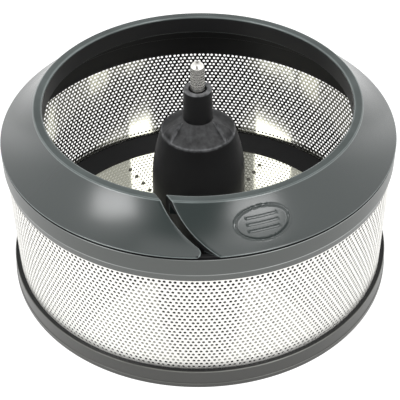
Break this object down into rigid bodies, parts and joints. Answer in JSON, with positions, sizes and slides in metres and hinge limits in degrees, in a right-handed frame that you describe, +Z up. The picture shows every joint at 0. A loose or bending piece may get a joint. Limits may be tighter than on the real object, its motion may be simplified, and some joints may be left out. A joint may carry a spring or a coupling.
{
  "type": "juicer filter basket",
  "caption": "Juicer filter basket: perforated steel drum between plastic rings, with a grating floor, a domed drive hub with a steel pin, and a split collar that clips on.",
  "frame": {"origin": "centre of the bottom ring's underside", "axes": "+Z up along the basket's axis, -Y towards the split in the collar"},
  "size_m": [0.1649, 0.1648, 0.0976],
  "materials": {
    "collar_plastic": "gloss",
    "ring_plastic": "satin",
    "mesh_steel": "bright",
    "floor_steel": "polished",
    "hub_plastic": "satin",
    "pin_steel": "turned"
  },
  "bodies": {
    "root": {"mesh_drum": "mesh_steel", "bottom_ring": "ring_plastic", "floor_disc": "floor_steel", "upper_band": "ring_plastic", "collar": "collar_plastic", "hub": "hub_plastic", "spindle_pin": "pin_steel"}
  },
  "joints": []
}
